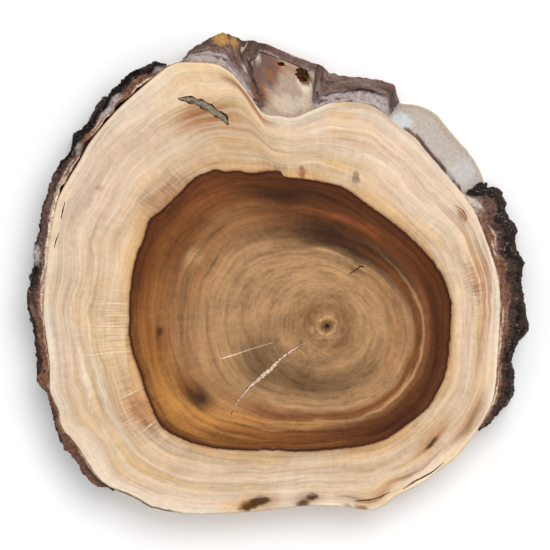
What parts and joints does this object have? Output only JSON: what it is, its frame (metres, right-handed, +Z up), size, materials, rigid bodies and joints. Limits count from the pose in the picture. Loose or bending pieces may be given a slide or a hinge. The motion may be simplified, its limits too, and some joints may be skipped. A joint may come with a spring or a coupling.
{
  "type": "wood slice",
  "caption": "Round slice sawn across a tree stem, with dark heartwood, pale sapwood, a deep crack and bark left round part of the edge, lying flat.",
  "frame": {"origin": "under the middle of the whole slice, on the surface that it lies on", "axes": "+Z up through the thickness, to the sawn face with the deep crack; +X along the slice's longest width; +Y towards the old branch hollow in the rim"},
  "size_m": [0.3022, 0.29, 0.035],
  "materials": {
    "wood": "sanded end grain, pale sapwood round brown heartwood",
    "rough_bark": "rough knobbly outer bark, dull",
    "smooth_bark": "thin smooth purple-brown bark, dull"
  },
  "bodies": {
    "root": {"wood": "wood", "bark_left": "rough_bark", "bark_right": "rough_bark", "bark_top": "smooth_bark"}
  },
  "joints": []
}
